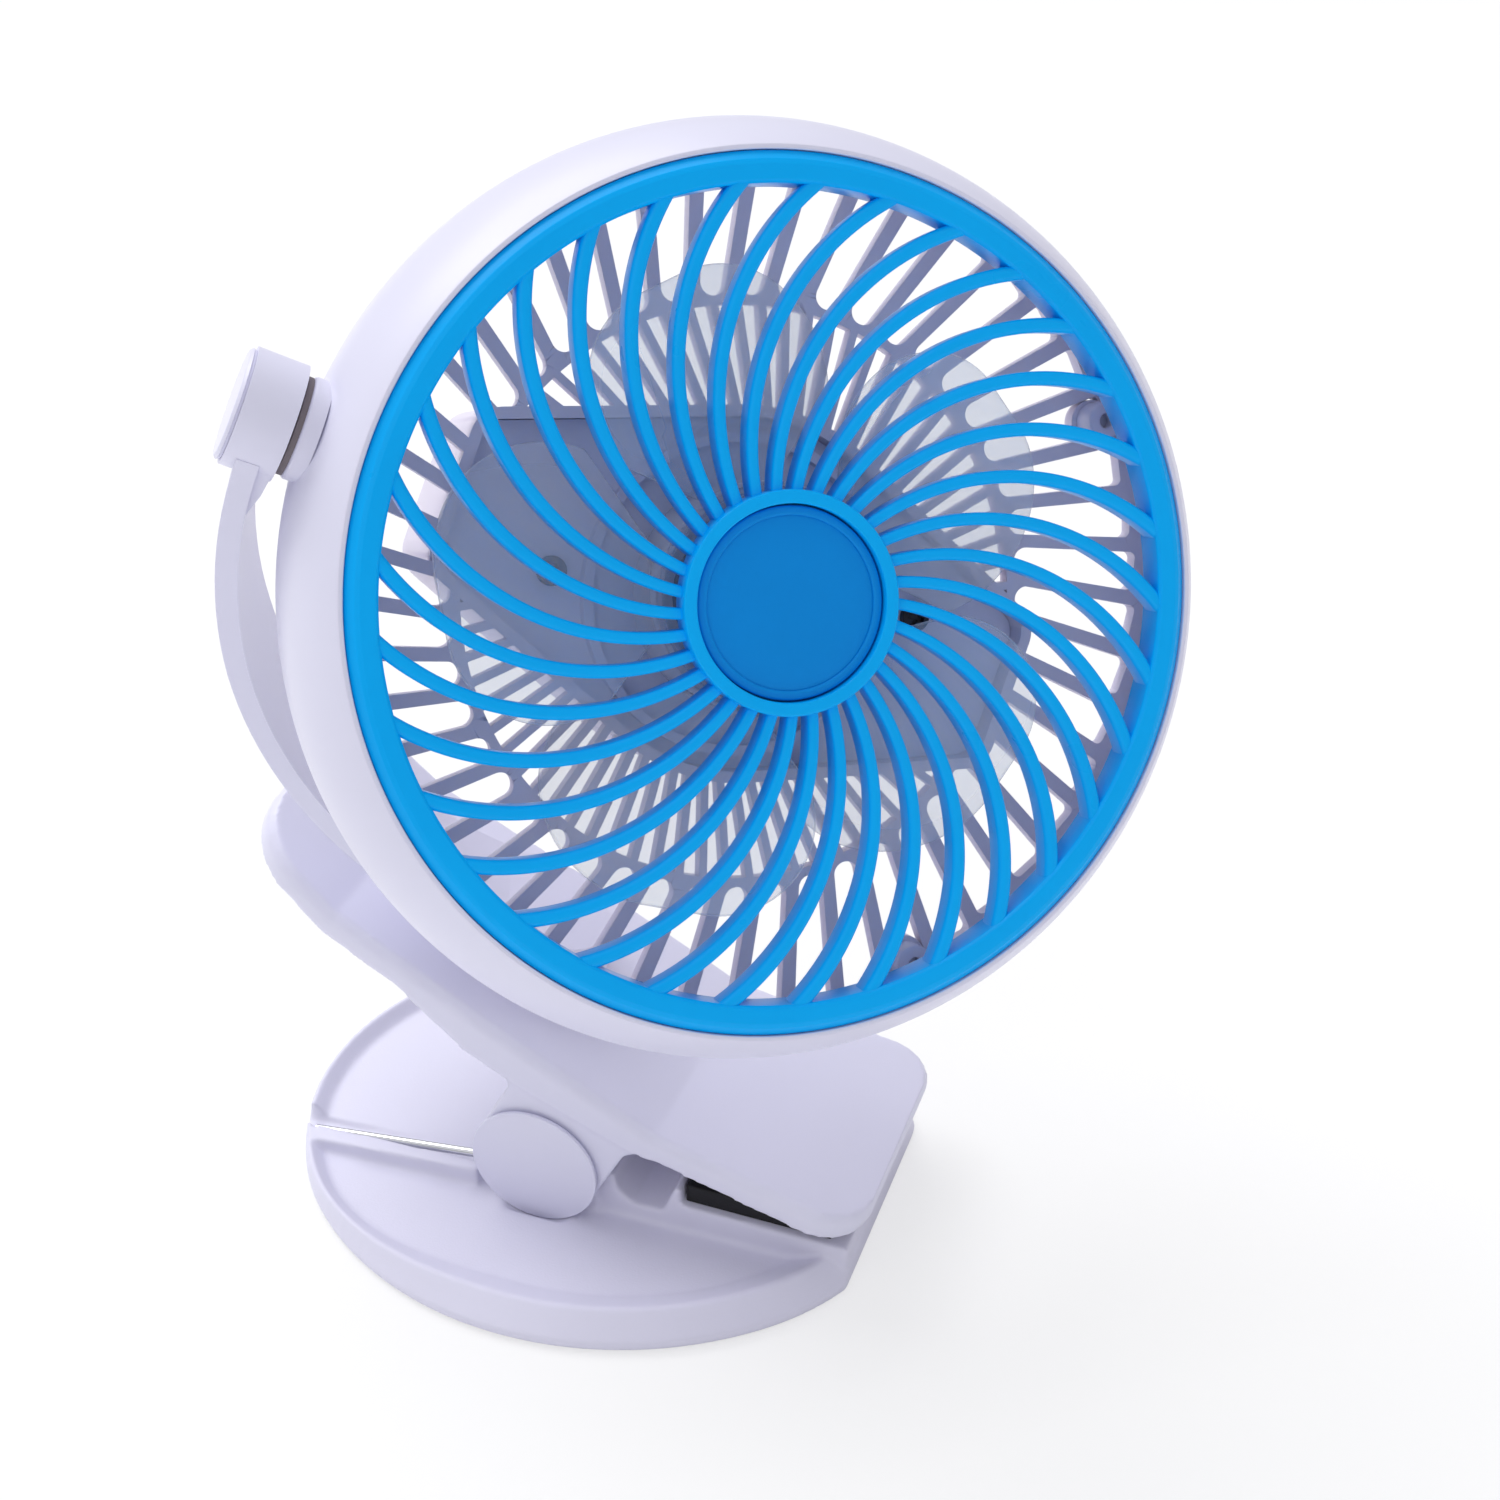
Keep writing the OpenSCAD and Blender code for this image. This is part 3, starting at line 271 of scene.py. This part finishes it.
SLOT_LOOKS = {
    "white_shell": WHITE, "blue_grille": BLUE, "blue_badge": BADGE, "clear_blades": CLEAR,
    "grey_plate": PLATE, "grey_washer": WASHER, "black_pad": PAD, "spring_steel": STEEL,
    "screw_steel": SCREW, "dark_screw": DARK, "motor_metal": MOTOR, "cell_sleeve": SLEEVE,
    "board_green": BOARD, "switch_black": BLACK, "light_clear": LIGHT,
}
NODE_LOOKS = {"rear_cover": REAR_SHADE_TINT, "foot": FOOT_WHITE}    # nodes unlike the rest of their slot: the foot's coarser grain, and the rear cover's mauve tint, which is painted shade from inside the head
for sub in frame["record"]["subparts"]:
    data = NODES[sub["node"]].data
    data.materials.clear()
    data.materials.append(NODE_LOOKS.get(sub["node"], SLOT_LOOKS[sub["material_slot"]]))

# ---- edges of the CAD nodes that stay ----
TOUCH = 1e-6    # metres; the solids' faces share their corners within this
SLIVER = 3e-6   # metres; points nearer than this are one, so that no zero-width face is left
FLAT_ANGLE, EDGE_ANGLE, EDGE_STEPS = 1, 28, 3


def soften(node, width):
    """Rounds a node's edges."""
    modifiers = NODES[node].modifiers
    modifiers.new("weld", "WELD").merge_threshold = TOUCH
    flat = modifiers.new("planar", "DECIMATE")
    flat.decimate_type = "DISSOLVE"
    flat.angle_limit = radians(FLAT_ANGLE)
    bevel = modifiers.new("bevel", "BEVEL")
    bevel.width = width / PER_M
    bevel.segments = EDGE_STEPS
    bevel.limit_method = "ANGLE"
    bevel.angle_limit = radians(EDGE_ANGLE)
    bevel.miter_outer = "MITER_ARC"
    modifiers.new("close", "WELD").merge_threshold = SLIVER
    modifiers.new("normals", "WEIGHTED_NORMAL").keep_sharp = True


def mould(node, voxel, rounds):
    """Gives a node the soft edges of a moulding: an even skin, then smoothed."""
    modifiers = NODES[node].modifiers
    modifiers.new("weld", "WELD").merge_threshold = TOUCH
    skin = modifiers.new("skin", "REMESH")
    skin.mode = "VOXEL"
    skin.voxel_size = voxel / PER_M
    skin.use_smooth_shade = True
    soft = modifiers.new("soft", "SMOOTH")
    soft.factor = 0.5
    soft.iterations = rounds


EDGE_WIDTHS = {
    "lower_pad": 0.35, "upper_pad": 0.35, "hinge_caps": 0.2, "arm_cap": 0.2, "arm": 0.5,
    "motor_plate": 0.15, "plate_screws": 0.15, "shell_screws": 0.15, "pivot_washer": 0.1,
    "power_button": 0.2, "usb_socket": 0.15, "motor_can": 0.2,
}
for node, width in EDGE_WIDTHS.items():
    soften(node, width)
NODES["rear_cover"].modifiers.new("close", "WELD").merge_threshold = SLIVER
mould("foot", voxel=0.56, rounds=4)
mould("lever", voxel=0.56, rounds=6)

# ---- torsion spring: the CAD coil, copied as a smooth piece of its own ----
coil = NODES["torsion_spring"].data
spring = make("spring_wire", [tuple(v.co) for v in coil.vertices],
              [tuple(p.vertices) for p in coil.polygons],
              Matrix.Identity(4), STEEL, None, "spring_steel", ["torsion_spring"])
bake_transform(spring)

# ---- front grille; profiles are (radius, z, corner radius) ----
LARGE_TURN, HUB_TURN, BOSS_TURN, STUB_TURN, POST_TURN, WHEEL_TURN = 384, 192, 96, 64, 48, 128
RING_R, RING_IN, RING_Z, RING_BACK = 72.5, 67.2, 19.0, 12.8
HUB_IN, HUB_OUT, HUB_TOP, HUB_FLOOR = 16.3, 18.6, 20.0, 16.0
HUB_BACK = HUB_FLOOR - 1.6
ARC_R, ARC_X, ARC_Y, SPOKES = 45.2, 10.4, -45.3, 33    # each spoke follows a part of this circle
SPOKE_HALF, SPOKE_GAIN, SPOKE_DRAFT = 1.0, 0.3, 0.12   # half width at the hub, and what it gains
SPOKE_TOP, SPOKE_BACK, SPOKE_STEPS = RING_Z - 0.4, RING_Z - 5.0, 40
HUB_ROOT, RING_ROOT = 1.0, 1.2                         # how deep a spoke's ends sit
SPOKE_ROUND = 0.75                                     # share of the half width


def arc_at(rho):
    """Angle on the spokes' circle at which it is so far from the head's axis."""
    d = hypot(ARC_X, ARC_Y)
    return atan2(ARC_Y, ARC_X) + acos((rho ** 2 - ARC_R ** 2 - d ** 2) / (2 * ARC_R * d))


def spoke():
    """One spoke along its arc: round top, slightly drafted sides, wider towards the ring."""
    a0, a1 = arc_at(HUB_OUT - HUB_ROOT), arc_at(RING_IN + RING_ROOT)
    rings = []
    for k in range(SPOKE_STEPS + 1):
        t = k / SPOKE_STEPS
        a = a0 + (a1 - a0) * t
        w = SPOKE_HALF + SPOKE_GAIN * t
        section = fillet([
            (-w + SPOKE_DRAFT, SPOKE_BACK, 0.3), (w - SPOKE_DRAFT, SPOKE_BACK, 0.3),
            (w, SPOKE_TOP, w * SPOKE_ROUND), (-w, SPOKE_TOP, w * SPOKE_ROUND)], n=5)
        rings.append([(ARC_X + (ARC_R + u) * cos(a), ARC_Y + (ARC_R + u) * sin(a), z)
                      for u, z in section])
    return loft(rings)


ring = lathe(fillet([
    (RING_IN, RING_BACK, 0.3), (RING_R, RING_BACK, 0.3), (RING_R, RING_Z - 1.7, 0.5),
    (RING_R - 1.5, RING_Z - 0.25, 0.6), (RING_R - 2.3, RING_Z, 0.8),
    (RING_IN + 0.5, RING_Z, 0.5), (RING_IN, RING_Z - 0.6, 0.4)]), LARGE_TURN)
spokes = join([moved(spoke(), Matrix.Rotation(2 * pi * i / SPOKES, 4, "Z"))
               for i in range(SPOKES)])
hub = lathe([(0, HUB_BACK)] + fillet([
    (HUB_OUT, HUB_BACK, 0.5), (HUB_OUT, HUB_TOP, 0.45), (HUB_IN, HUB_TOP, 0.35),
    (HUB_IN, HUB_FLOOR, 0.2)]) + [(0, HUB_FLOOR)], HUB_TURN)
make("front_grille_body", *join([ring, spokes, hub]), HEAD, BLUE, "head_body", "blue_grille",
     ["front_grille"])

# a plain disc in the hub's cup: raised rim, then a low crown
BADGE_R, BADGE_BACK = HUB_IN - 0.3, HUB_FLOOR + 0.01
DISH, CROWN = HUB_FLOOR + 2.65, 0.25
disc = lathe([(0, BADGE_BACK)] + fillet([
    (BADGE_R, BADGE_BACK, 0.2), (BADGE_R, HUB_FLOOR + 2.75, 0.5),
    (BADGE_R - 1.3, HUB_FLOOR + 2.95, 0.5), (BADGE_R - 1.7, DISH, 0.4)])
    + [(BADGE_R * t, DISH + CROWN * (1 - t * t)) for t in (0.8, 0.6, 0.4, 0.2)]
    + [(0, HUB_FLOOR + 2.9)], HUB_TURN)
make("hub_disc", *disc, HEAD, BADGE, "head_body", "blue_badge", ["hub_badge"])

# ---- barrel ----
BULGE_R, BULGE_X, BULGE_Z, WALL = 34.17, 46.4, -3.0, 2.17
SHELL_BACK, LIP_IN, LIP_OUT = -9.5, 72.6, 73.4
LEDGE_IN, LEDGE_TOP, LEDGE_BACK = 69.6, RING_BACK - 0.1, 10.8
BACK_GAP, LIP_GAP = 1.2, 1.8     # the outer curve stops short of its corners by these
INNER_TOP, INNER_GAP = 9, 1      # the inner curve starts here, and stops short by this
OUTER_STEPS, INNER_STEPS = 40, 24


def outer(z):
    """Radius of the bulged wall's outside."""
    return BULGE_X + sqrt(BULGE_R ** 2 - (z - BULGE_Z) ** 2)


def inner(z):
    """Radius of the bulged wall's inside."""
    return BULGE_X + sqrt((BULGE_R - WALL) ** 2 - (z - BULGE_Z) ** 2)


front_z = BULGE_Z + sqrt(BULGE_R ** 2 - (LIP_OUT - BULGE_X) ** 2)
outline = [(inner(SHELL_BACK), SHELL_BACK, 0.3), (outer(SHELL_BACK), SHELL_BACK, 0.7)]
outline += [(outer(z), z) for z in spaced(SHELL_BACK + BACK_GAP, front_z - SHELL_BACK - LIP_GAP,
                                          OUTER_STEPS)]
outline += [(LIP_OUT, front_z, 0.3), (LIP_IN, front_z, 0.25), (LIP_IN, LEDGE_TOP, 0.2),
            (LEDGE_IN, LEDGE_TOP, 0.3), (LEDGE_IN, LEDGE_BACK, 0.3),
            (inner(LEDGE_BACK), LEDGE_BACK, 0.8)]
outline += [(inner(z), z) for z in spaced(INNER_TOP, -(INNER_TOP - SHELL_BACK - INNER_GAP),
                                          INNER_STEPS)]
shell = lathe(fillet(outline), LARGE_TURN)

# four screw posts, each joined to the wall by a web
POST_IN, POST_OUT, POST_BACK, POST_TOP = 1.3, 3.4, -6.4, -1.0
POSTS, POST_R = 4, inner(-6.5) - 4.9
WEB_HALF, WEB_TOP, WEB_START, WEB_END = 1, -1.2, POST_R + 3.0, inner(-3) + 1.0
post = lathe(fillet([(POST_IN, POST_BACK, 0.1), (POST_OUT, POST_BACK, 0.2),
                     (POST_OUT, POST_TOP, 0.5), (POST_IN, POST_TOP, 0.3)], n=3), POST_TURN)
web_section = fillet([(-WEB_HALF, POST_BACK), (WEB_HALF, POST_BACK),
                      (WEB_HALF, WEB_TOP, 0.4), (-WEB_HALF, WEB_TOP, 0.4)], n=5)
web = loft([[(x, y, z) for y, z in web_section] for x in (WEB_START, WEB_END)])
posts = []
for k in range(POSTS):
    turn = Matrix.Rotation(pi / 4 + k * pi / 2, 4, "Z")
    posts.append(moved(post, turn @ Matrix.Translation((POST_R, 0, 0))))
    posts.append(moved(web, turn))

# the tilt pivot's boss outside the wall and its stub inside, both towards -X
BOSS_BACK, BOSS_FACE, BOSS_OUT, BOSS_IN = 79.0, 82.0, 8.6, 2.2
STUB_BACK, STUB_FACE, STUB_OUT, STUB_IN = 70.6, 79.8, 5.0, 2.05
to_side = Matrix.Rotation(-pi / 2, 4, "Y")
boss = moved(lathe([(0, BOSS_BACK)] + fillet([
    (BOSS_OUT, BOSS_BACK), (BOSS_OUT, BOSS_FACE, 0.7), (BOSS_IN, BOSS_FACE, 0.2),
    (BOSS_IN, BOSS_BACK + 0.2)]), BOSS_TURN), to_side)
stub = moved(lathe(fillet([
    (STUB_IN, STUB_BACK, 0.1), (STUB_OUT, STUB_BACK, 0.5), (STUB_OUT, STUB_FACE),
    (STUB_IN, STUB_FACE)]), STUB_TURN), to_side)
make("barrel_body", *join([shell, boss, stub] + posts), HEAD, WHITE, "head_body", "white_shell",
     ["barrel_shell"])

# ---- clear fan wheel ----
BLADES, FIRST_BLADE, BLADE_R, WHEEL_HUB, PITCH = 5, 56, 56.5, 20.0, radians(17)
BLADE_X, BLADE_Y, BLADE_Z = 36.0, -1.5, 3.5    # a blade's middle
HALF_THICK, CAMBER, CAMBER_HALF, CAMBER_BASE = 0.6, 1.6, 22, 1.0
LEAD_R, LEAD_Y, LEAD_FROM = 20.3, -6.0, -110       # the outline's two arcs: radius, Y of the
TRAIL_R, TRAIL_Y, TRAIL_FROM = 16.6, 3.5, 12       # middle, and the angle at which it starts
TRAIL_INSET, ARC_STEP, ARC_POINTS = 1.6, 5, 24
ROOT_X, ROOT_TOP, ROOT_BACK = WHEEL_HUB - 1.2, 5.5, -9
# a blade's rim, as (inset from the outline, share of half the thickness), and its fill, as
# shares of the outline on the way to the middle
RIM = ((0.55, -1), (0.15, -0.8), (0.0, -0.25), (0.0, 0.25), (0.15, 0.8), (0.55, 1))
FILL = (0.8, 0.6, 0.4, 0.2)


def blade_outline():
    """The leading and the trailing arc, closed by a straight root inside the hub."""
    lead_x = sqrt((BLADE_R - LEAD_R) ** 2 - LEAD_Y ** 2)
    trail_x = sqrt((BLADE_R - TRAIL_R - TRAIL_INSET) ** 2 - TRAIL_Y ** 2)
    out = []
    for x, y, r, start in ((lead_x, LEAD_Y, LEAD_R, LEAD_FROM),
                           (trail_x, TRAIL_Y, TRAIL_R, TRAIL_FROM)):
        angles = [radians(start + ARC_STEP * k) for k in range(ARC_POINTS)]
        out += [(x + r * cos(a), y + r * sin(a)) for a in angles]
    return out + [(ROOT_X, ROOT_TOP), (ROOT_X, ROOT_BACK)]


def petal():
    """One blade: a thin rounded petal, pitched and lightly cambered."""
    points = blade_outline()
    n = len(points)
    verts = []
    for inset, height in RIM:
        for x, y in points:
            v = Vector((x - BLADE_X, y - BLADE_Y))
            v *= (v.length - inset) / v.length
            verts.append((BLADE_X + v.x, BLADE_Y + v.y, HALF_THICK * height))
    faces = walls(len(RIM), n)
    for k, side in ((0, -HALF_THICK), (len(RIM) - 1, HALF_THICK)):   # filled so that it can bend
        rim = verts[k * n:(k + 1) * n]
        before = [k * n + i for i in range(n)]
        for s in FILL:
            now = list(range(len(verts), len(verts) + n))
            verts += [(BLADE_X + (x - BLADE_X) * s, BLADE_Y + (y - BLADE_Y) * s, side)
                      for x, y, _ in rim]
            for i in range(n):
                j = (i + 1) % n
                faces.append((before[i], before[j], now[j], now[i]))
            before = now
        verts.append((BLADE_X, BLADE_Y, side))
        faces += [(before[i], before[(i + 1) % n], len(verts) - 1) for i in range(n)]
    bent = []
    for x, y, z in verts:
        lift = BLADE_Z + y * tan(PITCH) + CAMBER * (1 - (y / CAMBER_HALF) ** 2) - CAMBER_BASE
        bent.append((x, y, z + lift))
    return bent, faces


# the hub is a drum, open at the back, with a bush for the shaft in its middle
wheel = [lathe(fillet([
    (18.5, -7.5, 0.3), (WHEEL_HUB, -7.5, 0.3), (WHEEL_HUB, 8.0, 1.2), (3.9, 8.0, 0.4),
    (3.9, 4.0, 0.4), (1.05, 4.0), (1.05, 8.4, 0.2), (4.4, 8.4, 0.4), (4.4, 6.5, 0.5),
    (18.5, 6.5, 0.8)]), WHEEL_TURN)]
wheel += [moved(petal(), Matrix.Rotation(radians(FIRST_BLADE + 360 / BLADES * k), 4, "Z"))
          for k in range(BLADES)]
make("fan_wheel", *join(wheel), HEAD, CLEAR, "rotor_body", "clear_blades", ["impeller"], sharp=50)


# ---- floor and world: both are white to the camera without more light on the object ----
def show(tree, factor, first, second, out):
    """Ends a node tree in the first shader where the factor is 0 and the second where it is 1."""
    mix = tree.nodes.new("ShaderNodeMixShader")
    tree.links.new(factor, mix.inputs["Fac"])
    tree.links.new(first.outputs[0], mix.inputs[1])
    tree.links.new(second.outputs[0], mix.inputs[2])
    tree.links.new(mix.outputs[0], tree.nodes[out].inputs["Surface"])


FLOOR_HALF, FLOOR_Z, FLOOR_GLOW = 4, -0.0002, 0.6    # metres, metres, share seen as white
floor_mesh = bpy.data.meshes.new("floor")
floor_mesh.from_pydata([(x * FLOOR_HALF, y * FLOOR_HALF, FLOOR_Z)
                        for x, y in ((-1, -1), (1, -1), (1, 1), (-1, 1))], [], [(0, 1, 2, 3)])
floor = link(bpy.data.objects.new("floor", floor_mesh))
floor_mat = material("floor_paper", (0.95, 0.95, 0.95), rough=(0.8, 0.9), vary=0.0, specular=0.1)
floor_tree = floor_mat.node_tree
glow = floor_tree.nodes.new("ShaderNodeEmission")
ray = floor_tree.nodes.new("ShaderNodeLightPath")
share = floor_tree.nodes.new("ShaderNodeMath")
share.operation = "MULTIPLY"
share.inputs[1].default_value = FLOOR_GLOW
floor_tree.links.new(ray.outputs["Is Camera Ray"], share.inputs[0])
show(floor_tree, share.outputs[0], floor_tree.nodes["Principled BSDF"], glow, "Material Output")
floor.data.materials.append(floor_mat)

WORLD_COLOR, WORLD_STRENGTH = (0.95, 0.95, 1.0, 1), 0.56
world = bpy.data.worlds.new("world")
bpy.context.scene.world = world
world.use_nodes = True
sky = world.node_tree
soft = sky.nodes["Background"]
soft.inputs["Color"].default_value = WORLD_COLOR
soft.inputs["Strength"].default_value = WORLD_STRENGTH
plain = sky.nodes.new("ShaderNodeBackground")
plain.inputs["Color"].default_value = (1, 1, 1, 1)
path = sky.nodes.new("ShaderNodeLightPath")
seen = sky.nodes.new("ShaderNodeMath")
seen.operation = "MAXIMUM"
sky.links.new(path.outputs["Is Camera Ray"], seen.inputs[0])
sky.links.new(path.outputs["Is Transmission Ray"], seen.inputs[1])
show(sky, seen.outputs[0], soft, plain, "World Output")


# ---- lamps and camera ----
def towards(azimuth, elevation):
    """Unit vector from the part to a viewer; azimuth 0 is on the side of -Y."""
    a, e = radians(azimuth), radians(elevation)
    return Vector((sin(a) * cos(e), -cos(a) * cos(e), sin(e)))


def face(obj, back):
    """Turns a lamp or the camera to look against the given direction."""
    obj.rotation_mode = "QUATERNION"
    obj.rotation_quaternion = (-back).to_track_quat("-Z", "Y")


def lamp(name, kind, back, energy):
    """A lamp on that side of the part, facing it."""
    data = bpy.data.lights.new(name, kind)
    data.energy = energy
    obj = link(bpy.data.objects.new(name, data))
    face(obj, back)
    return obj


for name, azimuth, elevation, energy, spread in (("key", -125, 58, 1.5, 50),
                                                 ("fill", -10, 50, 0.35, 60)):
    lamp(name, "SUN", towards(azimuth, elevation), energy).data.angle = radians(spread)

WINDOW_BACK, WINDOW_AIM, WINDOW_DISTANCE = towards(-100, 50), Vector((0, 0, 0.1)), 1.4
WINDOW_WIDE, WINDOW_HIGH = 0.5, 0.9
window = lamp("window", "AREA", WINDOW_BACK, 3.0)
window.data.shape = "RECTANGLE"
window.data.size, window.data.size_y = WINDOW_WIDE, WINDOW_HIGH
window.location = WINDOW_AIM + WINDOW_BACK * WINDOW_DISTANCE

CAMERA_BACK, CAMERA_DISTANCE = towards(19.64, 32.06), 0.4354
CAMERA_AIM = Vector((0.01809, 0.03455, 0.07989))
cam_data = bpy.data.cameras.new("camera")
cam_data.sensor_width = 36
cam_data.lens = 52.454
cam_data.clip_start, cam_data.clip_end = 0.01, 20
cam = link(bpy.data.objects.new("camera", cam_data))
cam.location = CAMERA_AIM + CAMERA_BACK * CAMERA_DISTANCE
face(cam, CAMERA_BACK)
bpy.context.scene.camera = cam
bpy.context.scene.view_settings.view_transform = "Standard"

bpy.context.view_layer.update()
